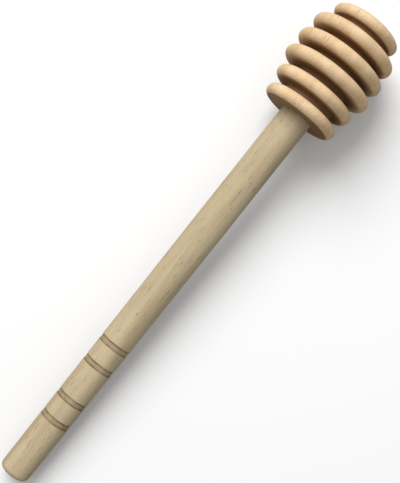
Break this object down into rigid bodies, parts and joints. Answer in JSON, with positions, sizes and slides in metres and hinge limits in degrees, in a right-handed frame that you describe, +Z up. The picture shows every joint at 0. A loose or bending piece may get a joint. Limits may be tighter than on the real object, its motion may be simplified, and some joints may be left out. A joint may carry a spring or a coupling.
{
  "type": "honey dipper",
  "caption": "Wooden honey dipper: a ringed, grooved head glued onto a slim round handle with burnt rings.",
  "frame": {"origin": "on the table, under the centre of the dipper's box", "axes": "+X along the dipper's length from butt to nose, +Z up; the axis rises 3.9 degrees towards the nose because it rests on the butt edge and a ring's rim"},
  "size_m": [0.1604, 0.028, 0.0283],
  "materials": {
    "head_wood": "bare turned wood, warm, scorched in the grooves",
    "handle_wood": "bare sanded dowel, paler and greyer, with burnt rings",
    "cured_glue": "cured wood glue"
  },
  "bodies": {
    "root": {"dipper_head": "head_wood", "handle": "handle_wood", "glue_film": "cured_glue"}
  },
  "joints": []
}
